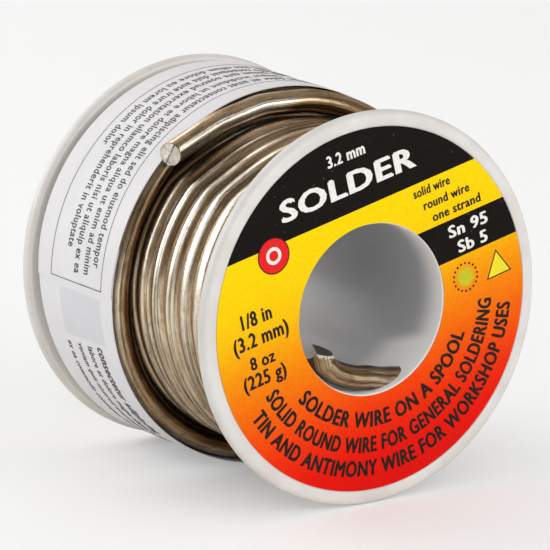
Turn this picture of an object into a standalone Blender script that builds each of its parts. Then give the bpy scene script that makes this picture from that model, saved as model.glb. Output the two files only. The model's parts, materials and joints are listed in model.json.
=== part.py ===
"""A small plastic spool wound with thick solder wire.

The spool's axis lies along world Y. Its labelled front face looks toward -Y and +Z is up. The origin is on
the axis, midway between the outer faces of the two flanges.

Everything is modelled about the local Z of one empty, which is turned so that local +Z points out of the
front face, local X stays world X and local Y becomes world Z. A place is given by its angle round the axis
(from +X toward local Y), its radius and its depth behind the front face.
"""
import math

import bmesh
import bpy
from mathutils import Vector

MM = 0.001
WELD = 0.00001
GAP = 0.3 * MM

# Spool moulding
FLANGE_RADIUS = 27.0 * MM
FLANGE_THICKNESS = 2.0 * MM
RIM_ROUND = 0.8 * MM
SPOOL_WIDTH = 45.7 * MM
BORE_RADIUS = 11.7 * MM
HUB_RADIUS = 15.9 * MM
HUB_WALL = 1.4 * MM
SEAT_DEPTH = 0.5 * MM
POCKET_COUNT = 6
POCKET_SPAN = math.radians(34.0)
ROUND_STEPS = 48
RIM_STEPS = 3
POCKET_STEPS = 5

# Labels
LABEL_THICKNESS = 0.2 * MM
FACE_LABEL_RADIUS = 24.95 * MM
FACE_LABEL_HOLE = 12.0 * MM
WRAP_LABEL_RADIUS = 26.68 * MM
WRAP_LABEL_THICKNESS = 0.12 * MM
WRAP_LABEL_START = 22.8 * MM
WRAP_LABEL_END = 41.8 * MM
WRAP_INNER_END = math.radians(165.0)
WRAP_OVERLAP = math.radians(15.0)
WRAP_RISE = math.radians(45.0)
WRAP_LIFT = 0.16 * MM

# Solder wire
WIRE_RADIUS = 1.6 * MM
WIRE_SIDES_RESOLUTION = 2
STEPS_PER_TURN = 16
LAYER_RADII = (18.2 * MM, 21.5 * MM, 24.8 * MM)
FULL_LAYER_TURNS = 11.125
PART_LAYER_TURNS = 3.9375
LAYER_CLIMB = 67.5
REAR_TURN = SPOOL_WIDTH - FLANGE_THICKNESS - GAP - WIRE_RADIUS
FRONT_TURN = FLANGE_THICKNESS + GAP + WIRE_RADIUS

# Last wound turn, in front of the wrap label: where it leaves the label, crosses, runs level and comes loose
LAST_TURN = (
    (-135.0, 28.7 * MM),
    (90.0, 24.3 * MM),
    (225.0, 25.3 * MM),
    (450.0, 19.4 * MM),
)

# Lead-in groove of the hub, which carries the wire from the tail hole to the first turn
GROOVE_ANGLE = -45.0
CLIMB_ANGLE = 22.5
GROOVE_WIRE_RADIUS = 14.55 * MM
GROOVE_DEPTHS = (14.0 * MM, 22.0 * MM, 30.0 * MM, 38.0 * MM)
TAIL_DEPTH = 3.4 * MM
TAIL_BEND = 3.6 * MM
TAIL_BEND_STEPS = 5
SLOT_HEIGHT = 4.0 * MM
SLOT_FRONT_INSET = 2.6 * MM
SLOT_REAR_INSET = 2.0 * MM

# Where the wire leaves the groove at the rear: angle past it, rise, and distance short of the first turn
GROOVE_EXIT = (
    (2.5, 0.1 * MM, 1.9 * MM),
    (9.0, 0.55 * MM, 0.6 * MM),
    (22.5, 1.7 * MM, 0.0),
    (45.0, 2.85 * MM, 0.0),
)

# Hinges where the soft wire is bent by hand: angle in degrees, radius and depth
FREE_END_HINGES = (
    (84.0, 24.95 * MM, 19.4 * MM),
    (100.0, 25.2 * MM, 20.2 * MM),
    (116.0, 25.7 * MM, 20.5 * MM),
)
FREE_END_TIP = (134.0, 27.15 * MM, 20.75 * MM)
HINGE_HALF_GAP = 0.7 * MM
TAIL_HINGE = (-63.0, 11.35 * MM, 3.15 * MM)
TAIL_STATIONS = (
    (-80.0, 10.15 * MM, 2.6 * MM),
    (-98.0, 9.7 * MM, 2.3 * MM),
    (-120.0, 9.2 * MM, 2.2 * MM),
    (-144.0, 8.95 * MM, 2.3 * MM),
)


def clear_scene():
    for old in list(bpy.data.objects):
        bpy.data.objects.remove(old, do_unlink=True)


def make_collection(name):
    collection = bpy.data.collections.new(name)
    bpy.context.scene.collection.children.link(collection)
    return collection


def make_material(name, color, roughness, metallic=0.0):
    material = bpy.data.materials.new(name)
    material.use_nodes = True
    shader = material.node_tree.nodes["Principled BSDF"]
    shader.inputs["Base Color"].default_value = (*color, 1.0)
    shader.inputs["Roughness"].default_value = roughness
    shader.inputs["Metallic"].default_value = metallic
    return material


def place(angle_degrees, radius, depth):
    """The local point at an angle round the axis, a radius and a depth behind the front face."""
    angle = math.radians(angle_degrees)
    return Vector((radius * math.cos(angle), radius * math.sin(angle), SPOOL_WIDTH / 2 - depth))


def smooth(t):
    return t * t * (3.0 - 2.0 * t)


def link(obj, collection, material=None):
    collection.objects.link(obj)
    obj.parent = AXIS
    if material:
        obj.data.materials.append(material)
    return obj


def mark_cutter(obj):
    obj.hide_render = True
    obj.display_type = "WIRE"
    return obj


def turned(name, profile, collection, material=None):
    """Turns a closed profile of (radius, depth) points, given down its outer side, about the axis."""
    mesh = bpy.data.meshes.new(name)
    points = [place(0.0, radius, depth) for radius, depth in profile]
    edges = [(i, (i + 1) % len(points)) for i in range(len(points))]
    mesh.from_pydata(points, edges, [])
    obj = link(bpy.data.objects.new(name, mesh), collection, material)
    screw = obj.modifiers.new("turn", "SCREW")
    screw.axis = "Z"
    screw.steps = ROUND_STEPS
    screw.render_steps = ROUND_STEPS
    screw.use_merge_vertices = True
    screw.merge_threshold = WELD
    screw.use_smooth_shade = True
    return obj


def corner(center_radius, center_depth, start_degrees):
    """A quarter round of the flange rim, as profile points running from the front face backward."""
    points = []
    for step in range(RIM_STEPS + 1):
        turn = math.radians(start_degrees + 90.0 * step / RIM_STEPS)
        points.append((center_radius + RIM_ROUND * math.sin(turn), center_depth - RIM_ROUND * math.cos(turn)))
    return points


def spline_object(name, points, collection, radius, origin=None, material=None):
    """A round wire along points, whose object origin is at origin."""
    origin = origin or Vector((0.0, 0.0, 0.0))
    curve = bpy.data.curves.new(name, "CURVE")
    curve.dimensions = "3D"
    curve.bevel_depth = radius
    curve.bevel_resolution = WIRE_SIDES_RESOLUTION
    curve.render_resolution_u = 0
    curve.use_fill_caps = True
    spline = curve.splines.new("POLY")
    spline.points.add(len(points) - 1)
    for control, point in zip(spline.points, points):
        control.co = (*(point - origin), 1.0)
    obj = link(bpy.data.objects.new(name, curve), collection, material)
    obj.location = origin
    return obj


def outline_object(name, outline, front_depth, rear_depth, collection, material=None):
    """A flat outline in the plane across the axis, given as (x, y), made as deep as the two depths."""
    curve = bpy.data.curves.new(name, "CURVE")
    curve.dimensions = "2D"
    curve.fill_mode = "BOTH"
    curve.extrude = (rear_depth - front_depth) / 2
    spline = curve.splines.new("POLY")
    spline.points.add(len(outline) - 1)
    for control, (x, y) in zip(spline.points, outline):
        control.co = (x, y, 0.0, 1.0)
    spline.use_cyclic_u = True
    obj = link(bpy.data.objects.new(name, curve), collection, material)
    obj.location = (0.0, 0.0, SPOOL_WIDTH / 2 - (front_depth + rear_depth) / 2)
    return obj


def as_mesh(curve_object):
    """Replaces a curve object by a welded mesh object of the same name and place."""
    graph = bpy.context.evaluated_depsgraph_get()
    mesh = bpy.data.meshes.new_from_object(curve_object.evaluated_get(graph))
    shape = bmesh.new()
    shape.from_mesh(mesh)
    bmesh.ops.remove_doubles(shape, verts=shape.verts, dist=WELD)
    bmesh.ops.recalc_face_normals(shape, faces=shape.faces)
    shape.to_mesh(mesh)
    shape.free()
    name = curve_object.name
    collection = curve_object.users_collection[0]
    obj = bpy.data.objects.new(name + "_mesh", mesh)
    collection.objects.link(obj)
    obj.parent = AXIS
    obj.location = curve_object.location
    bpy.data.objects.remove(curve_object, do_unlink=True)
    obj.name = name
    return obj


def cut(obj, cutter):
    boolean = obj.modifiers.new("cut_" + cutter.name, "BOOLEAN")
    boolean.operation = "DIFFERENCE"
    boolean.solver = "EXACT"
    boolean.object = cutter


def arc(radius, start, end, steps):
    """Points on a circle round the axis, from one angle in radians to another."""
    angles = [start + (end - start) * i / steps for i in range(steps + 1)]
    return [(radius * math.cos(a), radius * math.sin(a)) for a in angles]


def wound_layer(start_angle, end_angle, radius, start_depth, end_depth):
    """Stations of one layer of turns, as (angle, radius, depth), without the first."""
    steps = round((end_angle - start_angle) * STEPS_PER_TURN / 360.0)
    stations = []
    for step in range(1, steps + 1):
        t = step / steps
        stations.append((start_angle + (end_angle - start_angle) * t, radius,
                         start_depth + (end_depth - start_depth) * t))
    return stations


def drift(start_angle, end_angle, start_depth, end_depth, start_radius, end_radius):
    """Stations where the wire moves smoothly along the spool or up to the next layer."""
    steps = round((end_angle - start_angle) * STEPS_PER_TURN / 360.0)
    stations = []
    for step in range(1, steps + 1):
        t = step / steps
        stations.append((start_angle + (end_angle - start_angle) * t,
                         start_radius + (end_radius - start_radius) * t,
                         start_depth + (end_depth - start_depth) * smooth(t)))
    return stations


def lead_in():
    """The wire from inside the tail hole, along the hub's groove, to the first turn at the rear flange."""
    groove_foot = place(GROOVE_ANGLE, GROOVE_WIRE_RADIUS, TAIL_DEPTH)
    hole = place(*TAIL_HINGE)
    toward_hole = (Vector((hole.x, hole.y)) - Vector((groove_foot.x, groove_foot.y))).normalized()
    across = Vector((hole.x, hole.y)) - toward_hole * HINGE_HALF_GAP
    points = [Vector((across.x, across.y, hole.z))]
    for step in range(TAIL_BEND_STEPS + 1):
        turn = math.radians(90.0 * step / TAIL_BEND_STEPS)
        reach = TAIL_BEND * (1.0 - math.sin(turn))
        run = TAIL_BEND * (1.0 - math.cos(turn))
        points.append(groove_foot + Vector((toward_hole.x * reach, toward_hole.y * reach, -run)))
    for depth in GROOVE_DEPTHS:
        points.append(place(GROOVE_ANGLE, GROOVE_WIRE_RADIUS, depth))
    for angle, rise, short in GROOVE_EXIT:
        points.append(place(GROOVE_ANGLE + angle, GROOVE_WIRE_RADIUS + rise, REAR_TURN - short))
    return points


def coil_stations():
    """All wound turns: two full layers, then a part layer at the rear whose last turn is loose in front."""
    first, second, third = LAYER_RADII
    third_end, covered = LAST_TURN[0]
    third_start = third_end - PART_LAYER_TURNS * 360.0
    second_end = third_start - LAYER_CLIMB
    second_start = second_end - FULL_LAYER_TURNS * 360.0
    first_end = second_start - LAYER_CLIMB
    first_start = first_end - FULL_LAYER_TURNS * 360.0
    stations = [(first_start, first, REAR_TURN)]
    stations += wound_layer(first_start, first_end, first, REAR_TURN, FRONT_TURN)
    stations += drift(first_end, second_start, FRONT_TURN, FRONT_TURN, first, second)
    stations += wound_layer(second_start, second_end, second, FRONT_TURN, REAR_TURN)
    stations += drift(second_end, third_start, REAR_TURN, REAR_TURN, second, third)
    stations += wound_layer(third_start, third_end, third, REAR_TURN, covered)
    for (start, start_depth), (end, end_depth) in zip(LAST_TURN, LAST_TURN[1:]):
        stations += drift(start, end, start_depth, end_depth, third, third)
    return stations[:-1]


def make_spool_body(collection, cutters, material):
    rear = SPOOL_WIDTH
    inner_front = FLANGE_THICKNESS
    inner_rear = SPOOL_WIDTH - FLANGE_THICKNESS
    seat_radius = FACE_LABEL_RADIUS + GAP
    rim = FLANGE_RADIUS - RIM_ROUND
    profile = [(BORE_RADIUS, SEAT_DEPTH), (seat_radius, SEAT_DEPTH), (seat_radius, 0.0)]
    profile += corner(rim, RIM_ROUND, 0.0)
    profile += corner(rim, inner_front - RIM_ROUND, 90.0)
    profile += [(HUB_RADIUS, inner_front), (HUB_RADIUS, inner_rear)]
    profile += corner(rim, inner_rear + RIM_ROUND, 0.0)
    profile += corner(rim, rear - RIM_ROUND, 90.0)
    profile += [(BORE_RADIUS, rear)]
    body = turned("spool_body", profile, collection, material)
    for cutter in make_pocket_cutters(cutters) + make_groove_cutters(cutters):
        cut(body, cutter)
    return body


def make_pocket_cutters(cutters):
    """The pockets that core the hub out from the rear face, between its ribs."""
    low = BORE_RADIUS + HUB_WALL
    high = HUB_RADIUS - HUB_WALL
    pockets = []
    for index in range(POCKET_COUNT):
        middle = math.radians(GROOVE_ANGLE) + (index + 0.5) * 2 * math.pi / POCKET_COUNT
        start, end = middle - POCKET_SPAN / 2, middle + POCKET_SPAN / 2
        outline = arc(high, start, end, POCKET_STEPS) + arc(low, end, start, POCKET_STEPS)
        pocket = outline_object("pocket_cutter", outline, 2 * FLANGE_THICKNESS, SPOOL_WIDTH + MM, cutters)
        pockets.append(mark_cutter(as_mesh(pocket)))
    return pockets


def make_groove_cutters(cutters):
    """A straight slot along the hub, and a clearance tube that follows the wire into and out of it."""
    clearance = WIRE_RADIUS + GAP
    front, rear = TAIL_DEPTH + SLOT_FRONT_INSET, REAR_TURN - SLOT_REAR_INSET
    mesh = bpy.data.meshes.new("slot_cutter")
    shape = bmesh.new()
    bmesh.ops.create_cube(shape, size=1.0)
    bmesh.ops.scale(shape, vec=(SLOT_HEIGHT, 2 * clearance, rear - front), verts=shape.verts)
    shape.to_mesh(mesh)
    shape.free()
    slot = mark_cutter(link(bpy.data.objects.new("slot_cutter", mesh), cutters))
    slot.rotation_euler = (0.0, 0.0, math.radians(GROOVE_ANGLE))
    slot.location = place(GROOVE_ANGLE, GROOVE_WIRE_RADIUS + SLOT_HEIGHT / 2, (front + rear) / 2)
    path = lead_in()
    tail = [place(*TAIL_HINGE)] + [place(*station) for station in TAIL_STATIONS[:2]]
    climb = [place(CLIMB_ANGLE, LAYER_RADII[0] + GAP, REAR_TURN)]
    tube = spline_object("wire_path_cutter", tail[::-1] + path[1:] + climb, cutters, clearance)
    return [slot, mark_cutter(as_mesh(tube))]


def make_face_label(collection, material):
    profile = [(FACE_LABEL_HOLE, 0.0), (FACE_LABEL_RADIUS, 0.0), (FACE_LABEL_RADIUS, LABEL_THICKNESS),
               (FACE_LABEL_HOLE, LABEL_THICKNESS)]
    return turned("face_label", profile, collection, material)


def make_wrap_label(collection, material):
    """A paper band that runs once round the rear turns and laps over its own inner end."""
    steps = ROUND_STEPS + round(ROUND_STEPS * WRAP_OVERLAP / (2 * math.pi))
    inner, outer = [], []
    for step in range(steps + 1):
        turn = 2 * math.pi * step / ROUND_STEPS
        lap = smooth(min(1.0, max(0.0, (turn - 2 * math.pi + WRAP_RISE) / WRAP_RISE)))
        radius = WRAP_LABEL_RADIUS + WRAP_LIFT * lap
        angle = WRAP_INNER_END + turn
        inner.append((radius * math.cos(angle), radius * math.sin(angle)))
        outward = radius + WRAP_LABEL_THICKNESS
        outer.append((outward * math.cos(angle), outward * math.sin(angle)))
    band = outline_object("wrap_label", outer + inner[::-1], WRAP_LABEL_START, WRAP_LABEL_END, collection)
    band = as_mesh(band)
    band.data.materials.append(material)
    return band


def make_solder_coil(collection, material):
    points = lead_in() + [place(*station) for station in coil_stations()]
    hinge = place(*FREE_END_HINGES[0])
    points.append(hinge + (points[-1] - hinge).normalized() * HINGE_HALF_GAP)
    return spline_object("solder_coil", points, collection, WIRE_RADIUS, material=material)


def bent_piece(name, stations, last, collection, material):
    """One stretch of wire from a hinge to the next station, whose origin is on its own hinge."""
    points = [place(*station) for station in stations]
    origin = points[0]
    points[0] = origin + (points[1] - origin).normalized() * HINGE_HALF_GAP
    if not last:
        points[-1] = points[-1] + (points[-2] - points[-1]).normalized() * HINGE_HALF_GAP
    return spline_object(name, points, collection, WIRE_RADIUS, origin, material)


def between(start, end, parts):
    """Stations spaced evenly from start to end, both included."""
    return [tuple(a + (b - a) * i / parts for a, b in zip(start, end)) for i in range(parts + 1)]


def make_free_end(collection, material):
    names = ("free_end_root", "free_end_middle", "free_end_tip")
    ends = FREE_END_HINGES[1:] + (FREE_END_TIP,)
    for name, start, end in zip(names, FREE_END_HINGES, ends):
        bent_piece(name, between(start, end, 3), end is FREE_END_TIP, collection, material)


def make_inner_tail(collection, material):
    stations = [TAIL_HINGE]
    for station in TAIL_STATIONS:
        stations += between(stations[-1], station, 2)[1:]
    bent_piece("inner_tail", stations, True, collection, material)


clear_scene()
PARTS = make_collection("solder_wire_spool")
CUTTERS = make_collection("cutters")
AXIS = bpy.data.objects.new("spool_axis", None)
AXIS.rotation_euler = (math.radians(90.0), 0.0, 0.0)
PARTS.objects.link(AXIS)

white_plastic = make_material("white_plastic", (0.78, 0.76, 0.73), 0.42)
label_print = make_material("label_print", (0.95, 0.55, 0.02), 0.35)
label_paper = make_material("label_paper", (0.80, 0.80, 0.83), 0.6)
solder = make_material("solder", (0.55, 0.46, 0.36), 0.3, 1.0)

make_spool_body(PARTS, CUTTERS, white_plastic)
make_face_label(PARTS, label_print)
make_wrap_label(PARTS, label_paper)
make_solder_coil(PARTS, solder)
make_free_end(PARTS, solder)
make_inner_tail(PARTS, solder)
bpy.context.view_layer.update()
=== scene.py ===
"""Looks of the solder wire spool: a white moulding, a printed face label, a paper wrap band and the wire.

A place on the spool is given by its angle round the bore axis in degrees (from +X toward +Z), and by its
radius and its depth behind the front face in millimetres.
"""

import json
import math

import bmesh
import bpy
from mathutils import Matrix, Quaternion, Vector, noise


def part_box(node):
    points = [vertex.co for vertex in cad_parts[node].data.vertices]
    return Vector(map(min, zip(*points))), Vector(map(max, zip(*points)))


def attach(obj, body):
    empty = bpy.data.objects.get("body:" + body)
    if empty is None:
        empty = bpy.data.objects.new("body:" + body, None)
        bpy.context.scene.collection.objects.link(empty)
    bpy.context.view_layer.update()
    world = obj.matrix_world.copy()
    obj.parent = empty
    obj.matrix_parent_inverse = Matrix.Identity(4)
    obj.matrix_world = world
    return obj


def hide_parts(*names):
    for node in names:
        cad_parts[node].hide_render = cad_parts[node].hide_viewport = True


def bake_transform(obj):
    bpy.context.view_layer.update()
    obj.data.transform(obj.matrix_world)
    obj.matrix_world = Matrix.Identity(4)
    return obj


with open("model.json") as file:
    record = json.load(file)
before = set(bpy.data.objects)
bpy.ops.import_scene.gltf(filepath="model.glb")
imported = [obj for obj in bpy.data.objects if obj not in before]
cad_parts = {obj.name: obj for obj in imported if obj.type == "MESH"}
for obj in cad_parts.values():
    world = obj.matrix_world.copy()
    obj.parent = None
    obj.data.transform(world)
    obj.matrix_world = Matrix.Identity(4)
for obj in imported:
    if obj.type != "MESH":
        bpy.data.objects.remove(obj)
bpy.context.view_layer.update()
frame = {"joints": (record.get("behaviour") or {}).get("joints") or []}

MM = 0.001
TOWARD_FRONT = Vector((0.0, -1.0, 0.0))


def node_box_mm(node):
    """A CAD node's lowest and highest corner, in millimetres."""
    low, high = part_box(node)
    return low / MM, high / MM


# Driving sizes, read from the frame (millimetres)
SPOOL_LOW, SPOOL_HIGH = node_box_mm("spool_body")
FLANGE_RADIUS = SPOOL_HIGH.x
SPOOL_WIDTH = SPOOL_HIGH.y - SPOOL_LOW.y
FACE_LABEL_RADIUS = node_box_mm("face_label")[1].x
WRAP_RADIUS = node_box_mm("wrap_label")[1].x - 0.1
COIL_REAR = node_box_mm("solder_coil")[1].y - SPOOL_LOW.y
WIRE_RADIUS = 1.6

# Spool moulding
FLANGE_THICKNESS = 2.0
BORE_RADIUS = 11.7
HUB_RADIUS = 15.9
HUB_WALL = 1.4
RIM_ROUND = 0.8
BORE_ROUND = 0.3
CORNER_FILLET = 0.5
SEAT_DEPTH = 0.12
SEAT_GAP = 0.1
SPOOL_STEPS = 160
POCKET_COUNT = 6
POCKET_SPAN = 34.0
POCKET_CORNER = 0.45
POCKET_FLOOR_DEPTH = 4.0
POCKET_DRAFT = 0.15
GROOVE_ANGLE = -45.0
GROOVE_WIRE_RADIUS = 14.55
GROOVE_FRONT = 6.0
GROOVE_DEPTH = 4.0
WIRE_HOLE_CLEARANCE = 0.05

# Face label: straight print and bands are tilted, and "rise" is measured across that tilt
FILM_THICKNESS = 0.1
FILM_HOLE = 11.85
PRINT_TILT = 13.5
TOP_BLACK_RISE = 14.24
BAND_BLACK_RISES = (1.85, 7.4)
INK_THICKNESS = 0.02
INK_GAP = 0.004
LETTER_SPACING = 1.08
CAPITAL_SHARE = 0.69

# Wrap label
PAPER_THICKNESS = 0.12
PAPER_LAP_END = 179.6
PAPER_LAP = 15.0
PAPER_RISE = 40.0

WRAP_FRONT_PRINT = 25.7

# Layers of wire
FIRST_LAYER = 18.2
SECOND_LAYER = 21.4
THIRD_LAYER = 24.7
TURN_PITCH = 3.42
FRONT_PLATEAU = 4.9
CROSSING_FROM = 88.0
CROSSING_TO = 138.0
CROSSING_MIDDLE = 131.0
# How far the free end's painted crest highlight turns round the wire, in degrees
FREE_END_HIGHLIGHT_TURN = 65.0


# ---------------------------------------------------------------- small helpers


def place(angle, radius, depth):
    """World point (metres) of a place on the spool."""
    turn = math.radians(angle)
    return Vector((radius * math.cos(turn), depth + SPOOL_LOW.y, radius * math.sin(turn))) * MM


def smooth(t):
    t = min(1.0, max(0.0, t))
    return t * t * (3.0 - 2.0 * t)


def ease(knots, x):
    """Smooth curve through knots (x, value, value ...), flat at both ends; returns the values at x."""
    xs = [knot[0] for knot in knots]
    if x <= xs[0]:
        return list(knots[0][1:])
    if x >= xs[-1]:
        return list(knots[-1][1:])
    i = max(k for k in range(len(xs) - 1) if xs[k] <= x)
    span = xs[i + 1] - xs[i]
    t = (x - xs[i]) / span
    values = []
    for a, b, before, after in zip(knots[i][1:], knots[i + 1][1:], knots[max(i - 1, 0)][1:],
                                   knots[min(i + 2, len(xs) - 1)][1:]):
        slope_a = (b - before) / (xs[i + 1] - xs[i - 1]) * span if i > 0 else 0.0
        slope_b = (after - a) / (xs[i + 2] - xs[i]) * span if i + 2 < len(xs) else 0.0
        values.append((2 * t**3 - 3 * t**2 + 1) * a + (t**3 - 2 * t**2 + t) * slope_a
                      + (3 * t**2 - 2 * t**3) * b + (t**3 - t**2) * slope_b)
    return values


def between(a, b, share):
    return a + (b - a) * share


def arc(center_x, center_y, radius, start, end, steps=6):
    """Points on a circle, at angles in degrees from +x toward +y."""
    turns = [math.radians(start + (end - start) * step / steps) for step in range(steps + 1)]
    return [(center_x + radius * math.cos(turn), center_y + radius * math.sin(turn)) for turn in turns]


def wander(x, seed, scale):
    """Slow repeatable drift between about -1 and 1."""
    return 2.0 * noise.noise(Vector((x / scale, seed * 7.31, seed * 3.17)))


def linear(red, green, blue):
    """A colour given as 0 to 255 screen values, as the linear values that shaders take."""
    channels = []
    for value in (red, green, blue):
        value = value / 255.0
        channels.append(value / 12.92 if value <= 0.04045 else ((value + 0.055) / 1.055) ** 2.4)
    return (*channels, 1.0)


def new_object(name, data, *materials):
    obj = bpy.data.objects.new(name, data)
    bpy.context.scene.collection.objects.link(obj)
    for material in materials:
        data.materials.append(material)
    return obj


def mesh_from(name, shape, sharp_angle=None):
    """A mesh made from a bmesh, with its faces pointing out."""
    bmesh.ops.recalc_face_normals(shape, faces=shape.faces)
    mesh = bpy.data.meshes.new(name)
    shape.to_mesh(mesh)
    shape.free()
    if sharp_angle is not None:
        mesh.shade_smooth()
        mesh.set_sharp_from_angle(angle=math.radians(sharp_angle))
    return mesh


def evaluated_mesh(obj):
    """The mesh that an object's modifiers, or its curve's settings, make."""
    graph = bpy.context.evaluated_depsgraph_get()
    return bpy.data.meshes.new_from_object(obj.evaluated_get(graph))


def join_rings(shape, ring, after):
    """Makes the faces between two rings that have the same number of vertices."""
    count = len(ring)
    return [shape.faces.new((ring[i], ring[(i + 1) % count], after[(i + 1) % count], after[i]))
            for i in range(count)]


def skin(shape, rings):
    """Makes the faces along rings of vertices, and a flat end on the first and the last."""
    for ring, after in zip(rings, rings[1:]):
        join_rings(shape, ring, after)
    shape.faces.new(rings[0])
    shape.faces.new(rings[-1])


def put_on_spool(piece, slot, node=None):
    """Makes a piece ride on the spool, in place of a CAD node where one is named."""
    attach(piece, "spool")
    if node:
        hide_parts(node)


def cut_away(obj, cutters, self_crossing=False):
    """Takes the cutters' shapes out of an object and removes the cutters."""
    for cutter in cutters:
        boolean = obj.modifiers.new(cutter.name, "BOOLEAN")
        boolean.operation = "DIFFERENCE"
        boolean.solver = "EXACT"
        boolean.object = cutter
        boolean.use_self = self_crossing
    cut = evaluated_mesh(obj)
    obj.modifiers.clear()
    obj.data = cut
    for cutter in cutters:
        bpy.data.objects.remove(cutter, do_unlink=True)


# ---------------------------------------------------------------- shader helpers


class Nodes:
    """A node tree, with short calls that add nodes to it and return their output sockets."""

    def __init__(self, tree):
        self.tree = tree

    def feed(self, socket, value):
        """Connects a socket to another, or gives it a plain value."""
        if isinstance(value, bpy.types.NodeSocket):
            self.tree.links.new(value, socket)
        else:
            socket.default_value = value

    def add(self, kind, *inputs, **settings):
        node = self.tree.nodes.new("ShaderNode" + kind)
        for key, value in settings.items():
            setattr(node, key, value)
        for socket, value in zip(node.inputs, inputs):
            if value is not None:
                self.feed(socket, value)
        return node

    def math(self, operation, *values):
        return self.add("Math", *values, operation=operation).outputs[0]

    def times(self, a, b):
        return self.math("MULTIPLY", a, b)

    def degrees(self, rise, run):
        """The direction of (run, rise) as an angle."""
        return self.times(self.math("ARCTAN2", rise, run), 180.0 / math.pi)

    def distance(self, a, b):
        return self.math("SQRT", self.math("ADD", self.times(a, a), self.times(b, b)))

    def axes(self, vector):
        return self.add("SeparateXYZ", vector).outputs[:3]

    def scale_range(self, value, from_low, from_high, to_low=0.0, to_high=1.0, smooth_ends=True):
        node = self.add("MapRange", value, from_low, from_high, to_low, to_high)
        node.interpolation_type = "SMOOTHSTEP" if smooth_ends else "LINEAR"
        return node.outputs[0]

    def window(self, value, low, high):
        """1 between two soft edges, each given as (where it is 0, where it is 1)."""
        return self.times(self.scale_range(value, *low), self.scale_range(value, *high))

    def near(self, value, middle, far, close):
        """1 within close of the middle, 0 further off than far."""
        return self.scale_range(self.math("ABSOLUTE", self.math("SUBTRACT", value, middle)), far, close)

    def mix(self, factor, a, b, blend="MIX"):
        node = self.add("Mix", data_type="RGBA", blend_type=blend)
        for socket, value in zip((node.inputs[0], node.inputs[6], node.inputs[7]), (factor, a, b)):
            self.feed(socket, value)
        return node.outputs[2]


class Shader(Nodes):
    """The nodes of a material with a Principled shader."""

    def __init__(self, name):
        self.material = bpy.data.materials.new(name)
        self.material.use_nodes = True
        super().__init__(self.material.node_tree)
        self.surface = self.tree.nodes["Principled BSDF"]

    def set(self, **settings):
        """Sets or connects inputs of the Principled shader, written like base_color=..."""
        for key, value in settings.items():
            self.feed(self.surface.inputs[key.replace("_", " ").title().replace("Ior", "IOR")], value)

    def point(self, scale=(1.0, 1.0, 1.0)):
        """The object's own coordinates in millimetres, stretched by scale."""
        coordinates = self.add("TexCoord").outputs["Object"]
        return self.stretched(coordinates, [value / MM for value in scale])

    def uv(self, name, scale=(1.0, 1.0, 1.0)):
        return self.stretched(self.add("UVMap", uv_map=name).outputs[0], scale)

    def stretched(self, vector, scale):
        mapping = self.add("Mapping", vector)
        mapping.inputs["Scale"].default_value = scale
        return mapping.outputs[0]

    def noise(self, vector, scale, detail=3.0, roughness=0.55, distortion=0.0):
        node = self.add("TexNoise")
        self.feed(node.inputs["Vector"], vector)
        for key, value in (("Scale", scale), ("Detail", detail), ("Roughness", roughness),
                           ("Distortion", distortion)):
            node.inputs[key].default_value = value
        return node.outputs["Fac"]

    def ramp(self, value, stops):
        """A colour ramp from (position, colour) stops."""
        node = self.add("ValToRGB", value)
        ramp = node.color_ramp
        while len(ramp.elements) < len(stops):
            ramp.elements.new(0.5)
        for element, (position, color) in zip(ramp.elements, stops):
            element.position = position
            element.color = color
        return node.outputs["Color"]

    def darken(self, color, share):
        """A colour multiplied by one number."""
        gray = self.add("CombineColor", share, share, share).outputs[0]
        return self.mix(1.0, color, gray, "MULTIPLY")

    def bump(self, height, distance_mm, strength=1.0, normal=None):
        node = self.add("Bump")
        node.inputs["Strength"].default_value = strength
        node.inputs["Distance"].default_value = distance_mm * MM
        self.feed(node.inputs["Height"], height)
        if normal is not None:
            self.feed(node.inputs["Normal"], normal)
        return node.outputs[0]


# ---------------------------------------------------------------- materials


# Painted light in the white plastic: the side of the bore that the front beam lights, and the tone of bounced
# light
LIT_SIDE_OF_BORE = -55.0
BOUNCED_LIGHT = linear(246, 243, 240)


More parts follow.
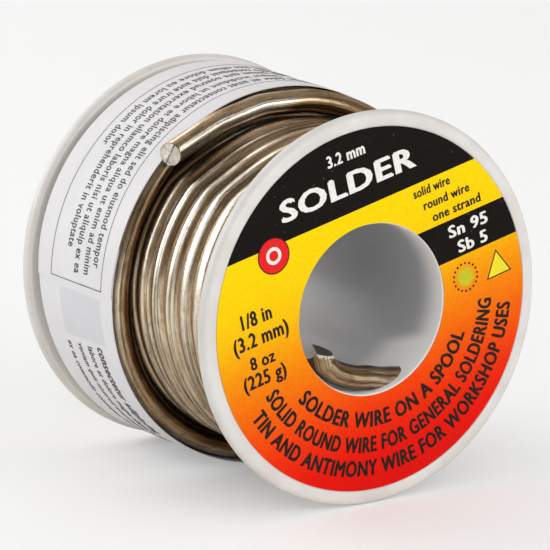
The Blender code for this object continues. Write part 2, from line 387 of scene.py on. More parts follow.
def make_white_plastic():
    """Moulded polystyrene: satin, uneven in tone, with faint flow marks and handling scuffs.

    It has painted light, paler where light bounces about, at the bore's mouth and between the flanges, and
    painted shade, grayer further inside the bore, less so on the side that the front beam lights.
    """
    s = Shader("white_plastic")
    cloud = s.noise(s.point(), 0.16, 3.0)
    grain = s.noise(s.point(), 3.2, 3.0)
    scuff = s.noise(s.point((0.9, 0.12, 2.6)), 1.1, 5.0, 0.7)
    scuffed = s.scale_range(scuff, 0.6, 0.72)
    tone = s.mix(s.scale_range(cloud, 0.35, 0.65), linear(214, 210, 205), linear(223, 220, 217))
    tone = s.mix(s.times(scuffed, 0.3), tone, linear(200, 194, 187))
    x, y, z = s.axes(s.point())
    radius = s.distance(x, z)
    off_middle = s.math("ABSOLUTE", y)
    in_bore = s.scale_range(radius, BORE_RADIUS + 0.7, BORE_RADIUS + 0.1)
    # Painted light: on the side of the bore that the front beam lights, the painted shade is lighter and
    # reaches less far in
    lit = s.near(s.degrees(z, x), LIT_SIDE_OF_BORE, 30.0, 12.0)
    inward = s.math("SUBTRACT", s.math("SUBTRACT", SPOOL_WIDTH / 2, off_middle), s.times(lit, 6.0))
    # Painted shade: the bore grayer further in from either face
    painted_bore_shade = s.times(in_bore, s.scale_range(inward, 0.4, 6.0))
    painted_bore_shade = s.times(painted_bore_shade, s.math("MULTIPLY_ADD", lit, -0.25, 1.0))
    # Painted light: the whole bore paler with bounced light, then the painted shade over it
    tone = s.mix(s.times(in_bore, 0.9), tone, BOUNCED_LIGHT)
    tone = s.mix(painted_bore_shade, tone, linear(173, 174, 177))
    # Painted light: the flanges' inner faces paler with bounced light
    flange_inside = SPOOL_WIDTH / 2 - FLANGE_THICKNESS
    on_inner_faces = s.scale_range(off_middle, flange_inside + 0.2, flange_inside + 0.05)
    on_inner_faces = s.times(on_inner_faces, s.scale_range(radius, HUB_RADIUS, 24.0))
    tone = s.mix(s.times(on_inner_faces, 0.8), tone, BOUNCED_LIGHT)
    roughness = s.math("MULTIPLY_ADD", scuffed, 0.14, 0.36)
    normal = s.bump(grain, 0.012, 0.6)
    normal = s.bump(scuff, 0.02, 0.35, normal)
    s.set(base_color=tone, roughness=roughness, normal=normal, specular_ior_level=0.35)
    return s.material


def make_label_gradient():
    """Printed film: yellow at the top, through orange to red at the bottom, across the tilt of the print."""
    s = Shader("label_gradient")
    tilt = math.radians(PRINT_TILT)
    x, _, z = s.axes(s.point())
    rise = s.math("ADD", s.times(x, -math.sin(tilt)), s.times(z, math.cos(tilt)))
    mottle = s.noise(s.point(), 0.35, 4.0)
    rise = s.math("ADD", rise, s.math("MULTIPLY_ADD", mottle, 1.6, -0.8))
    stops = ((-24.0, (226, 20, 14)), (-19.0, (236, 24, 10)), (-15.0, (240, 48, 8)), (-12.0, (246, 70, 8)),
             (-8.0, (246, 102, 6)), (-4.0, (248, 131, 8)), (0.0, (250, 162, 8)), (4.0, (252, 195, 5)),
             (8.0, (254, 210, 3)), (12.0, (254, 216, 2)))
    low, high = stops[0][0], stops[-1][0]
    ramp_place = s.scale_range(rise, low, high, smooth_ends=False)
    color = s.ramp(ramp_place, [((at - low) / (high - low), linear(*rgb)) for at, rgb in stops])
    screen_dots = s.noise(s.point(), 4.5, 2.0)
    color = s.darken(color, s.scale_range(screen_dots, 0.35, 0.75, 1.0, 0.86))
    s.set(base_color=color, roughness=film_roughness(s), normal=film_surface(s), specular_ior_level=0.06)
    return s.material


def film_roughness(s):
    haze = s.noise(s.point(), 0.5, 4.0, 0.65)
    return s.scale_range(haze, 0.3, 0.7, 0.3, 0.44)


def film_surface(s):
    """The gentle waviness of a stuck-down film over the moulding, with fine grain."""
    wave = s.noise(s.point(), 0.22, 2.0)
    grain = s.noise(s.point(), 5.0, 2.0)
    return s.bump(grain, 0.006, 0.5, s.bump(wave, 0.06, 0.5))


def make_label_black():
    """Black printed area of the face label, with tiny pale dust specks."""
    s = Shader("label_black")
    cloud = s.noise(s.point(), 0.4, 3.0)
    color = s.mix(cloud, linear(9, 7, 6), linear(19, 15, 13))
    dust = s.noise(s.point(), 2.6, 2.0, 0.4)
    color = s.mix(s.scale_range(dust, 0.74, 0.8, 0.0, 0.5), color, linear(150, 140, 128))
    s.set(base_color=color, roughness=film_roughness(s), normal=film_surface(s), specular_ior_level=0.09)
    return s.material


def make_ink(color_name, fresh_rgb, worn_rgb):
    """A printing ink whose density varies a little."""
    s = Shader("ink_" + color_name)
    density = s.noise(s.point(), 1.8, 4.0, 0.6)
    color = s.mix(s.scale_range(density, 0.35, 0.7), linear(*fresh_rgb), linear(*worn_rgb))
    s.set(base_color=color, roughness=s.scale_range(density, 0.3, 0.7, 0.39, 0.53),
          normal=s.bump(density, 0.01, 0.4), specular_ior_level=0.15)
    return s.material


def make_label_paper():
    """Coated white paper with a satin sheen, fine fibre, and a faint gray panel beside the seam."""
    s = Shader("label_paper")
    fibre = s.noise(s.point((1.0, 2.2, 1.0)), 2.4, 5.0, 0.65)
    cloud = s.noise(s.point(), 0.12, 3.0)
    color = s.mix(s.scale_range(cloud, 0.3, 0.7), linear(226, 225, 227), linear(232, 231, 233))
    color = s.mix(s.scale_range(fibre, 0.5, 0.8, 0.0, 0.14), color, linear(190, 190, 196))
    angle, depth, _ = s.axes(s.uv("paper"))
    panel_round = s.window(angle, (180.8, 181.4), (196.5, 195.5))
    panel = s.times(panel_round, s.window(depth, (26.0, 26.4), (36.6, 36.0)))
    color = s.mix(s.times(panel, 0.5), color, linear(204, 204, 210))
    # Painted highlight: a cream glow on the paper along its front edge, beside the wire
    edge = s.scale_range(depth, WRAP_FRONT_PRINT - 2.6, WRAP_FRONT_PRINT - 3.4)
    color = s.mix(s.times(edge, 0.35), color, linear(232, 214, 188))
    s.set(base_color=color, roughness=0.5, normal=s.bump(fibre, 0.012, 0.5), specular_ior_level=0.3)
    return s.material


def make_solder(name, highlight_turn=0.0, grain=1.0, shine_offset=0.0, highlight_turn_from=None):
    """Drawn tin-antimony wire: lengthwise die lines, stains and pits, with a bright crest and browner sides.

    The crest is partly polish and partly painted highlight, and the sides are partly tarnish and partly
    painted shade. Highlight turn is the angle from the side away from the wire's seam to the crest's painted
    highlight, grain how close the die lines lie, shine offset how much brighter the whole colour is (negative
    for darker) and highlight_turn_from the length at which the painted highlight starts to turn round the
    wire.
    """
    s = Shader(name)
    u, v, _ = s.axes(s.uv("wire"))
    # The crest's painted highlight is turned round the wire by the highlight turn, and on the free end it
    # turns further along the wire
    around = s.math("MULTIPLY_ADD", u, 1.0 / WIRE_RADIUS, math.radians(highlight_turn))
    if highlight_turn_from is not None:
        highlight_turning = s.scale_range(v, highlight_turn_from, highlight_turn_from + 14.0, 0.0, math.radians(-FREE_END_HIGHLIGHT_TURN))
        around = s.math("ADD", around, highlight_turning)
    crest = s.math("MULTIPLY_ADD", s.math("COSINE", around), -0.5, 0.5 + shine_offset)

    def mottle(per_mm_round, per_mm_along, detail, roughness, distortion=0.0):
        return s.noise(s.uv("wire", (per_mm_round, per_mm_along, 1.0)), 1.0, detail, roughness, distortion)
    lines = mottle(2.6 * grain, 0.035, 6.0, 0.72)
    fine = mottle(9.0, 0.16, 3.0, 0.6)
    dark_lines = mottle(1.7 * grain, 0.018, 2.0, 0.5)
    patch = mottle(0.5, 0.12, 4.0, 0.6, 0.6)
    pits = mottle(1.9, 0.9, 3.0, 0.55)
    stain = mottle(0.9, 0.35, 5.0, 0.7, 1.2)
    # The colour runs from browner sides, partly tarnish and partly painted shade, to a bright crest, partly
    # polish and partly painted highlight
    shine = s.math("ADD", crest, s.math("MULTIPLY_ADD", patch, 0.7, -0.35))
    shine = s.math("ADD", shine, s.math("MULTIPLY_ADD", lines, 0.5, -0.25))
    color = s.ramp(shine, ((0.4, linear(120, 92, 62)), (0.58, linear(184, 156, 120)),
                           (0.74, linear(218, 199, 172)), (0.9, linear(244, 235, 222))))
    shade = s.scale_range(lines, 0.36, 0.56, 0.4, 1.0)
    for pattern, low, high, darkest in ((fine, 0.32, 0.5, 0.72), (stain, 0.36, 0.52, 0.7),
                                        (dark_lines, 0.34, 0.42, 0.4)):
        shade = s.times(shade, s.scale_range(pattern, low, high, darkest))
    # Painted shade: a darker mottled band on the second layer where its turns cross over
    x, _, z = s.axes(s.point())
    below = s.scale_range(s.distance(x, z), SECOND_LAYER + 2.2, SECOND_LAYER + 1.6)
    crossing_shade = s.times(s.near(s.degrees(z, x), CROSSING_MIDDLE, 13.0, 2.0), below)
    crossing_shade = s.times(crossing_shade, s.scale_range(patch, 0.3, 0.6, 0.4, 1.0))
    color = s.darken(color, s.times(shade, s.math("MULTIPLY_ADD", crossing_shade, -0.38, 1.0)))
    pitted = s.scale_range(pits, 0.7, 0.76)
    color = s.mix(pitted, color, linear(52, 38, 26))
    roughness = s.math("ADD", s.scale_range(lines, 0.3, 0.7, 0.34, 0.2), s.times(pitted, 0.3))
    normal = s.bump(lines, 0.07 / grain ** 2, 0.5)
    normal = s.bump(dark_lines, 0.08 / grain ** 2, 0.5, normal)
    normal = s.bump(fine, 0.012, 0.5, normal)
    normal = s.bump(pitted, -0.03, 0.6, normal)
    s.set(base_color=color, metallic=1.0, roughness=roughness, normal=normal)
    return s.material


def make_nipped_solder():
    """Where side cutters squeezed the wire flat: dull gray with short tool marks."""
    s = Shader("solder_nipped")
    marks = s.noise(s.point((1.2, 5.0, 1.2)), 1.0, 4.0, 0.65)
    color = s.mix(s.scale_range(marks, 0.36, 0.62), linear(104, 97, 88), linear(158, 150, 140))
    s.set(base_color=color, metallic=1.0, roughness=s.scale_range(marks, 0.3, 0.7, 0.34, 0.48),
          normal=s.bump(marks, 0.04, 0.7))
    return s.material


def make_cut_solder():
    """Freshly cut wire end: pale, matt and smeared across the cut."""
    s = Shader("solder_cut")
    smear = s.noise(s.point((0.7, 3.0, 0.7)), 1.2, 5.0, 0.7)
    color = s.mix(s.scale_range(smear, 0.35, 0.65), linear(196, 190, 182), linear(232, 228, 222))
    s.set(base_color=color, metallic=0.45, roughness=s.scale_range(smear, 0.3, 0.7, 0.48, 0.62),
          normal=s.bump(smear, 0.03, 0.7))
    return s.material


def make_floor_material():
    """Plain white sweep: a touch self-lit to the camera, and with painted shade near the spool in
    reflections.
    """
    s = Shader("floor")
    cloud = s.noise(s.point(), 0.01, 2.0)
    color = s.mix(cloud, linear(250, 250, 250), linear(253, 253, 253))
    # Painted shade: what reflections see of the floor is warm, and darker near the spool
    x, y, _ = s.axes(s.point())
    away = s.scale_range(s.distance(x, y), 38.0, 90.0)
    reflected_with_painted_shade = s.mix(away, linear(206, 192, 172), linear(255, 247, 230))
    paths = s.add("LightPath").outputs
    seen = paths["Is Camera Ray"]
    color = s.mix(s.times(seen, 0.3), color, linear(0, 0, 0))
    color = s.mix(paths["Is Glossy Ray"], color, reflected_with_painted_shade)
    s.set(base_color=color, roughness=0.9, specular_ior_level=0.2, emission_color=linear(255, 255, 255),
          emission_strength=s.times(seen, 0.31))
    return s.material


# ---------------------------------------------------------------- spool body


def turned_shape(profile, steps):
    """A closed bmesh ring made by turning a closed profile of (radius, depth) points about the axis."""
    shape = bmesh.new()
    rings = [[shape.verts.new(place(360.0 * step / steps, radius, depth)) for radius, depth in profile]
             for step in range(steps)]
    for ring, after in zip(rings, rings[1:] + rings[:1]):
        join_rings(shape, ring, after)
    return shape


def rounded_rectangle(half_width, half_height, corner):
    """Points of a rectangle with round corners, as (along, across)."""
    points = []
    for x, y, start in ((1, 1, 0.0), (-1, 1, 90.0), (-1, -1, 180.0), (1, -1, 270.0)):
        points += arc(x * (half_width - corner), y * (half_height - corner), corner, start, start + 90.0, 4)
    return points


def lofted(name, rings):
    """A closed object through rings of points, with flat ends."""
    shape = bmesh.new()
    skin(shape, [[shape.verts.new(point) for point in ring] for ring in rings])
    return new_object(name, mesh_from(name, shape))


def pocket_cutters():
    """Drafted, round-cornered pockets that core the hub out from the rear face, with softened mouths."""
    middle_radius = (BORE_RADIUS + HUB_RADIUS) / 2
    half_height = (HUB_RADIUS - BORE_RADIUS) / 2 - HUB_WALL
    half_width = math.radians(POCKET_SPAN / 2) * middle_radius
    levels = [(POCKET_FLOOR_DEPTH, -POCKET_DRAFT)]
    levels += [(SPOOL_WIDTH + behind, grow) for behind, grow in ((-0.25, 0.0), (-0.06, 0.07), (0.3, 0.5))]
    cutters = []
    for index in range(POCKET_COUNT):
        middle = GROOVE_ANGLE + (index + 0.5) * 360.0 / POCKET_COUNT
        rings = []
        for depth, grow in levels:
            outline = rounded_rectangle(half_width + grow, half_height + grow, POCKET_CORNER)
            rings.append([place(middle + math.degrees(along / middle_radius), middle_radius + across, depth)
                          for along, across in outline])
        cutters.append(lofted(f"pocket_cutter_{index}", rings))
    return cutters


def make_spool(material):
    """The moulding: a turned profile with the pockets, the groove and the wire's hole cut out of it.

    In the profile's arcs, 0 degrees is outward and 90 degrees rearward.
    """
    rim = FLANGE_RADIUS - RIM_ROUND
    inner_front, inner_rear = FLANGE_THICKNESS, SPOOL_WIDTH - FLANGE_THICKNESS
    seat = FACE_LABEL_RADIUS + SEAT_GAP
    fillet = HUB_RADIUS + CORNER_FILLET
    profile = arc(BORE_RADIUS + BORE_ROUND, SEAT_DEPTH + BORE_ROUND, BORE_ROUND, 180.0, 270.0, 4)
    profile += [(seat, SEAT_DEPTH), (seat + 0.02, 0.03), (seat + 0.06, 0.0)]
    profile += arc(rim, RIM_ROUND, RIM_ROUND, -90.0, 0.0)
    profile += arc(rim, inner_front - RIM_ROUND, RIM_ROUND, 0.0, 90.0)
    profile += arc(fillet, inner_front + CORNER_FILLET, CORNER_FILLET, 270.0, 180.0, 4)
    profile += arc(fillet, inner_rear - CORNER_FILLET, CORNER_FILLET, 180.0, 90.0, 4)
    profile += arc(rim, inner_rear + RIM_ROUND, RIM_ROUND, -90.0, 0.0)
    profile += arc(rim, SPOOL_WIDTH - RIM_ROUND, RIM_ROUND, 0.0, 90.0)
    profile += arc(BORE_RADIUS + BORE_ROUND, SPOOL_WIDTH - BORE_ROUND, BORE_ROUND, 90.0, 180.0, 4)
    shape = turned_shape(profile, SPOOL_STEPS)
    body = new_object("spool_moulding", mesh_from("spool_moulding", shape), material)
    cut_away(body, pocket_cutters() + [groove_cutter()])
    cut_away(body, [wire_hole_cutter()], self_crossing=True)
    body.data.shade_smooth()
    body.data.set_sharp_from_angle(angle=math.radians(38.0))
    put_on_spool(body, "white_plastic", "spool_body")


def groove_cutter():
    """The straight slot along the hub that carries the wire's lead-in to the rear."""
    half = WIRE_RADIUS + WIRE_HOLE_CLEARANCE
    outward = place(GROOVE_ANGLE, 1.0, 0.0) - place(GROOVE_ANGLE, 0.0, 0.0)
    across = place(GROOVE_ANGLE + 90.0, 1.0, 0.0) - place(GROOVE_ANGLE + 90.0, 0.0, 0.0)
    rings = []
    for depth in (GROOVE_FRONT, COIL_REAR - 2.0):
        foot = place(GROOVE_ANGLE, GROOVE_WIRE_RADIUS, depth)
        rings.append([foot + across * side * half + outward * rise
                      for side, rise in ((-1, 0.0), (1, 0.0), (1, GROOVE_DEPTH), (-1, GROOVE_DEPTH))])
    return lofted("groove_cutter", rings)


def wire_hole_cutter():
    """The hole through the hub wall and the rounded bottom of the groove, which follow the wire."""
    points = tail_path()[TAIL_SLOT_STEPS:0:-3] + lead_in_path()
    return tube("wire_hole_cutter", points, WIRE_RADIUS + WIRE_HOLE_CLEARANCE, 24)


# ---------------------------------------------------------------- wire


def tube(name, points, radius, sides, start_length=0.0, section=None, materials=()):
    """A wire along points, with its seam toward the bore axis.

    Its "wire" UV map is in millimetres, round the wire and along it. Section gives the share of the radius at
    a length and a turn round the wire.
    """
    shape = bmesh.new()
    layer = shape.loops.layers.uv.new("wire")
    rings, lengths = [], []
    length = start_length
    for i, point in enumerate(points):
        before, after = points[max(i - 1, 0)], points[min(i + 1, len(points) - 1)]
        tangent = (after - before).normalized()
        outward = Vector((point.x, 0.0, point.z))
        outward = (outward - tangent * outward.dot(tangent)).normalized()
        side = tangent.cross(outward)
        if i:
            length += (point - points[i - 1]).length / MM
        lengths.append(length)
        ring = []
        for k in range(sides):
            turn = 2.0 * math.pi * k / sides
            toward = side * math.sin(turn) - outward * math.cos(turn)
            reach = radius * section(length, turn) if section else radius
            ring.append(shape.verts.new(point + toward * reach * MM))
        rings.append(ring)
    side_width = 2.0 * math.pi * radius / sides
    for i in range(len(rings) - 1):
        for k, face in enumerate(join_rings(shape, rings[i], rings[i + 1])):
            for loop, (u, v) in zip(face.loops, ((k, i), (k + 1, i), (k + 1, i + 1), (k, i + 1))):
                loop[layer].uv = (u * side_width, lengths[v])
    shape.faces.new(rings[0])
    shape.faces.new(rings[-1])
    obj = new_object(name, mesh_from(name, shape, 40.0), *materials)
    obj["length_mm"] = length
    return obj


# The loose last turn: winding angle, radius and depth
LAST_TURN_KNOTS = (
    (-135.0, 24.75, 28.7), (-45.0, 24.7, 27.7), (30.0, 24.65, 25.6), (90.0, 24.55, 24.4), (140.0, 24.5, 24.3),
    (180.0, 24.5, 24.45), (215.0, 24.5, 25.35), (262.0, 24.5, 25.3), (330.0, 24.6, 22.8), (400.0, 24.7, 19.9),
    (428.0, 24.7, 19.1), (444.0, 24.9, 19.35),
)

# Winding angles at which the layers start and end, with whole turns counted back from the loose last turn; a
# climb is the stretch from one layer up to the next
CLIMB = 67.5
SECOND_LAYER_START = CROSSING_TO - 16 * 360.0
SECOND_LAYER_END = 180.0 - 5 * 360.0
FIRST_LAYER_END = SECOND_LAYER_START - CLIMB
FIRST_LAYER_START = FIRST_LAYER_END - 11.1 * 360.0
THIRD_LAYER_START = SECOND_LAYER_END + CLIMB
THIRD_LAYER_END = LAST_TURN_KNOTS[0][0]

# Where the second layer's turns cross over by one pitch: angle and share of the pitch
CROSSING_KNOTS = ((CROSSING_FROM, 0.0), (104.0, 0.16), (121.0, 0.45), (130.0, 0.78), (CROSSING_TO, 1.0))
CROSSING_DIP = 0.16
CROSSING_DIP_ANGLE = 129.0
CROSSING_DIP_WIDTH = 7.0


def strand_radius_depth(angle):
    """Radius and depth of the wire's centre at a winding angle, which grows along the whole strand."""
    front_turn = FLANGE_THICKNESS + WIRE_RADIUS + 0.1
    rear_turn = COIL_REAR - WIRE_RADIUS
    if angle < FIRST_LAYER_END:
        t = (angle - FIRST_LAYER_START) / (FIRST_LAYER_END - FIRST_LAYER_START)
        return FIRST_LAYER, between(rear_turn, front_turn, t)
    if angle < SECOND_LAYER_START:
        t = smooth((angle - FIRST_LAYER_END) / CLIMB)
        return between(FIRST_LAYER, SECOND_LAYER, t), between(front_turn, FRONT_PLATEAU, t)
    if angle < SECOND_LAYER_END:
        turns, within = divmod(angle - CROSSING_FROM, 360.0)
        turn = round((turns * 360.0 + CROSSING_TO - SECOND_LAYER_START) / 360.0)
        crossing = ease(CROSSING_KNOTS, within + CROSSING_FROM)[0]
        past_dip = within + CROSSING_FROM - CROSSING_DIP_ANGLE
        dip = CROSSING_DIP * math.exp(-(past_dip / CROSSING_DIP_WIDTH) ** 2)
        depth = FRONT_PLATEAU + (turn - 1 + crossing) * TURN_PITCH
        return SECOND_LAYER - dip, min(depth, rear_turn)
    rear = min(rear_turn, FRONT_PLATEAU + 11 * TURN_PITCH)
    if angle < THIRD_LAYER_START:
        t = smooth((angle - SECOND_LAYER_END) / CLIMB)
        return between(SECOND_LAYER, THIRD_LAYER, t), between(rear, rear_turn, t)
    if angle < THIRD_LAYER_END:
        t = (angle - THIRD_LAYER_START) / (THIRD_LAYER_END - THIRD_LAYER_START)
        return THIRD_LAYER, between(rear_turn, LAST_TURN_KNOTS[0][2], t)
    return ease(LAST_TURN_KNOTS, angle)


def strand_point(angle):
    """A point of the wire's centreline, with the unevenness of winding."""
    radius, depth = strand_radius_depth(angle)
    radius += 0.05 * wander(angle, 1.0, 47.0)
    depth += 0.07 * wander(angle, 2.0, 61.0)
    return place(angle, radius, depth)


def strand_points(start, end, steps_per_turn):
    steps = max(2, math.ceil((end - start) * steps_per_turn / 360.0))
    return [strand_point(start + (end - start) * i / steps) for i in range(steps + 1)]


def drawn_section(length, turn):
    """Slight flats and dents of soft wire that was wound under tension."""
    spot = Vector((1.3 * math.cos(turn), 1.3 * math.sin(turn), length * 0.11))
    return 1.0 + 0.012 * noise.noise(spot) + 0.006 * noise.noise(spot * 3.1)


# The free end: the winding angle at which it starts, the two angles round the axis at which it is split into
# pieces, the place where it ends, the steps of its path in millimetres, and how many steps on either side are
# averaged to round its bends
FREE_END_START = 438.0
FREE_END_SPLITS = (92.0, 108.0)
FREE_END_TIP = (133.5, 27.1, 20.85)
FREE_END_STEP = 0.1
FREE_END_ROUNDING = 10


def free_end_path(hinges):
    """Centreline of the loose end: straight between its hinges and rounded at them, as bent by hand."""
    run_up = [strand_point(FREE_END_START - back) for back in (12.0, 10.0, 8.0, 6.0, 4.0, 2.0, 0.0)]
    corners = run_up + hinges + [place(*FREE_END_TIP)]
    path = []
    for a, b in zip(corners, corners[1:]):
        count = round((b - a).length / (FREE_END_STEP * MM))
        path += [a + (b - a) * i / count for i in range(count)]
    path.append(corners[-1])
    for _ in range(2):
        rounded = []
        for i in range(len(path)):
            reach = min(FREE_END_ROUNDING, i, len(path) - 1 - i)
            rounded.append(sum(path[i - reach:i + reach + 1], Vector()) / (2 * reach + 1))
        path = rounded
    start = min(range(len(path)), key=lambda i: (path[i] - run_up[-1]).length)
    return path[start::2]


def make_strand(material, cut_material):
    """The wound coil, and the free end in three pieces that meet halfway between its hinges."""
    points = strand_points(FIRST_LAYER_START, SECOND_LAYER_START, 40)
    points += strand_points(SECOND_LAYER_START, SECOND_LAYER_END, 130)[1:]
    points += strand_points(SECOND_LAYER_END, THIRD_LAYER_END, 60)[1:]
    points += strand_points(THIRD_LAYER_END, FREE_END_START, 150)[1:]
    coil = tube("wound_wire", points, WIRE_RADIUS, 28, section=drawn_section, materials=[material])
    put_on_spool(coil, "solder", "solder_coil")
    length = coil["length_mm"]
    # The free end's painted crest highlight turns round the wire, starting where the coil ends
    end_material = make_solder("solder_free_end", highlight_turn_from=length)
    bodies = ("spool", "free_end_root", "free_end_middle", "free_end_tip")
    hinges = [hinge_of(body) for body in bodies[1:]]
    path = free_end_path(hinges)
    splits = [min(range(len(path)), key=lambda i: abs(angle_of(path[i]) - angle))
              for angle in FREE_END_SPLITS]
    for i, (start, end) in enumerate(zip([0] + splits, splits + [len(path) - 1])):
        points = path[start:end + 1]
        is_tip = i == 2
        materials = [end_material, cut_material] if is_tip else [end_material]
        sides = 96 if is_tip else 32
        piece = tube(bodies[i + 1] + "_wire", points, WIRE_RADIUS, sides, length, drawn_section, materials)
        if is_tip:
            dress_tip(piece, points)
        length = piece["length_mm"]
        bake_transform(piece)
        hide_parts(bodies[i + 1])


def hinge_of(body):
    """Where the joint that carries a body sits."""
    return Vector(next(joint["pos_m"] for joint in frame["joints"] if joint["child"] == body))


def angle_of(point):
    """A point's angle round the bore axis."""
    return math.degrees(math.atan2(point.z, point.x))


def dress_tip(piece, points):
    """The snipped face of the free end, which leans toward the front left."""
    forward = (points[-1] - points[-3]).normalized()
    outward = Vector((points[-1].x, 0.0, points[-1].z)).normalized()
    shear_line = outward * 0.836 + TOWARD_FRONT * 0.548
    lean_toward = TOWARD_FRONT * 0.8 + Vector((-0.543, 0.0, 0.241))
    lean_toward = (lean_toward - forward * lean_toward.dot(forward)).normalized()
    lean_cut(piece, points[-1], forward, shear_line, lean_toward)


def with_fine_end(points, length, step):
    """The same path, with points every step (millimetres) over its last length (millimetres)."""
    end, back = points[-1], (points[-3] - points[-1]).normalized()
    kept = [point for point in points if (point - end).length > length * MM]
    count = round(length / step)
    return kept + [end + back * (length - step * i) * MM for i in range(count + 1)]


# The nip at the tail's end: how far its edge lies off the middle, how fast its two facets open behind that
# edge, how far back they can reach, and the height, width and inner limit of the torn metal along one facet
NIP_EDGE_HEIGHT = -0.43
NIP_SLOPE = 1.5
NIP_REACH = 2.6
BURR_HEIGHT = 0.3
BURR_WIDTH = 0.42
BURR_SIDE = -0.25


def nip_end(wire, end, back, edge_line):
    """Turns a wire's last stretch into two facets that meet in an edge, as side cutters leave it.

    The torn metal gets the second material and the facets the third.
    """
    thin = back.cross(edge_line).normalized()
    pressed, torn = set(), set()
    for vert in wire.data.vertices:
        offset = (vert.co - end) / MM
        behind = offset.dot(back)
        if behind > NIP_REACH:
            continue
        limit = max(0.02, behind * NIP_SLOPE)
        height = offset.dot(thin) - NIP_EDGE_HEIGHT
        if abs(height) < limit and behind > 0.02:
            ragged = BURR_WIDTH * (1.0 + 1.6 * noise.noise(offset * 2.6))
            if height > limit - ragged and offset.dot(edge_line) < BURR_SIDE:
                torn.add(vert.index)
            continue
        pressed.add(vert.index)
        flat = math.copysign(min(abs(height), limit), height)
        vert.co += (thin * (flat - height) - back * 0.03 * noise.noise(offset * 2.2)) * MM
    for face in wire.data.polygons:
        if all(index in pressed for index in face.vertices):
            face.material_index = 2
        elif any(index in torn for index in face.vertices):
            face.material_index = 1
    for index in torn:
        vert = wire.data.vertices[index]
        vert.co += thin * BURR_HEIGHT * max(0.0, noise.noise(vert.co * 3.4 / MM) + 0.25) * MM
    wire.data.update()


# The free end's cut face: how far it leans for each millimetre off the middle, the length of wire that takes
# up the lean, its rings as shares of the radius, and the share inside which it counts as cut metal
CUT_LEAN = 0.5
LEAN_LENGTH = 3.0
CUT_RINGS = (0.975, 0.95, *(0.08 * step for step in range(11, 0, -1)))
CUT_EDGE = 0.96


def lean_cut(wire, end, forward, shear_line, lean_toward):
    """Gives a wire's end a cut face that leans toward a side, crossed by one narrow shear line."""
    shape = bmesh.new()
    shape.from_mesh(wire.data)
    caps = [face for face in shape.faces if len(face.verts) > 4]
    cap = min(caps, key=lambda face: (face.calc_center_median() - end).length)
    ring = list(cap.verts)
    shape.faces.remove(cap)
    across = forward.cross(shear_line).normalized()
    for share in CUT_RINGS:
        inner = []
        for point in cap_ring(ring, end, share):
            side = (point - end).dot(across) / MM
            shear_line_dip = 0.16 * math.exp(-(side / 0.09) ** 2)
            rise = 0.03 * noise.noise(point * 1.9 / MM) - 0.07 * abs(side) - shear_line_dip
            inner.append(shape.verts.new(point + forward * (rise if share < CUT_EDGE else 0.05) * MM))
        for face in join_rings(shape, ring, inner):
            side = (face.calc_center_median() - end).dot(across) / MM
            face.material_index = int(share < CUT_EDGE and abs(side) > 0.06)
        ring = inner
    shape.faces.new(ring).material_index = 1
    for vert in shape.verts:
        offset = (vert.co - end) / MM
        behind = -offset.dot(forward)
        if behind < LEAN_LENGTH:
            reach = offset.dot(lean_toward)
            vert.co -= forward * CUT_LEAN * reach * smooth(1.0 - max(behind, 0.0) / LEAN_LENGTH) * MM
    bmesh.ops.recalc_face_normals(shape, faces=shape.faces)
    shape.to_mesh(wire.data)
    shape.free()
    wire.data.set_sharp_from_angle(angle=math.radians(40.0))


def cap_ring(ring, end, share):
    """Points round a wire's end at a share of its radius, one in the direction of each vertex of a ring."""
    middle = sum((vert.co for vert in ring), Vector()) / len(ring)
    return [end + (vert.co - middle).normalized() * WIRE_RADIUS * share * MM for vert in ring]


# ---------------------------------------------------------------- inner tail


# Inner tail from inside the hub wall to its tip: step, angle, radius and depth
TAIL_KNOTS = (
    (0.0, -59.0, 13.1, 3.2), (1.0, -67.0, 11.85, 3.1), (2.0, -83.0, 10.2, 2.6), (3.0, -95.0, 9.8, 2.35),
    (4.0, -109.5, 9.62, 2.3), (5.0, -126.0, 9.55, 2.25), (6.0, -147.5, 8.75, 2.1),
)
TAIL_RADIUS = 1.66
TAIL_SPREAD_FROM = 12.5
TAIL_STEPS = 90
TAIL_SLOT_STEPS = 30

# The lead-in: depth of its foot, size of the bend there, and its way out of the groove at the rear, as the
# angle past the groove, the rise and how far it still is from the coil's rear
LEAD_IN_DEPTH = 3.4
LEAD_IN_BEND = 3.6
LEAD_IN_RISE = ((2.5, 0.1, 1.9), (9.0, 0.55, 0.6), (22.5, 1.7, 0.0), (45.0, 2.85, 0.0), (67.5, 3.65, 0.0))


def tail_path():
    return [place(*ease(TAIL_KNOTS, TAIL_KNOTS[-1][0] * step / TAIL_STEPS)) for step in range(TAIL_STEPS + 1)]


def lead_in_path():
    """Points of the wire from inside the hub wall, along the groove, to the rear flange."""
    foot = place(GROOVE_ANGLE, GROOVE_WIRE_RADIUS, LEAD_IN_DEPTH)
    hole = place(*TAIL_KNOTS[0][1:])
    toward = (hole - foot).normalized()
    points = [hole]
    for step in range(9):
        turn = math.radians(90.0 * step / 8)
        reach = LEAD_IN_BEND * (1.0 - math.sin(turn))
        run = LEAD_IN_BEND * (1.0 - math.cos(turn))
        if reach * MM < (hole - foot).length - 0.3 * MM:
            points.append(foot + toward * reach * MM + Vector((0.0, run * MM, 0.0)))
    points += [place(GROOVE_ANGLE, GROOVE_WIRE_RADIUS, 9.0 + 29.0 * step / 11) for step in range(12)]
    rear = COIL_REAR - WIRE_RADIUS
    return points + [place(GROOVE_ANGLE + angle, GROOVE_WIRE_RADIUS + rise, rear - short)
                     for angle, rise, short in LEAD_IN_RISE]


def tail_section(length, turn):
    """Soft wire that the cutters squeezed wider toward its tip."""
    spread = smooth(max(0.0, length - TAIL_SPREAD_FROM) / 3.0)
    return drawn_section(length, turn) * (1.0 + 0.12 * spread * math.cos(turn) ** 2)


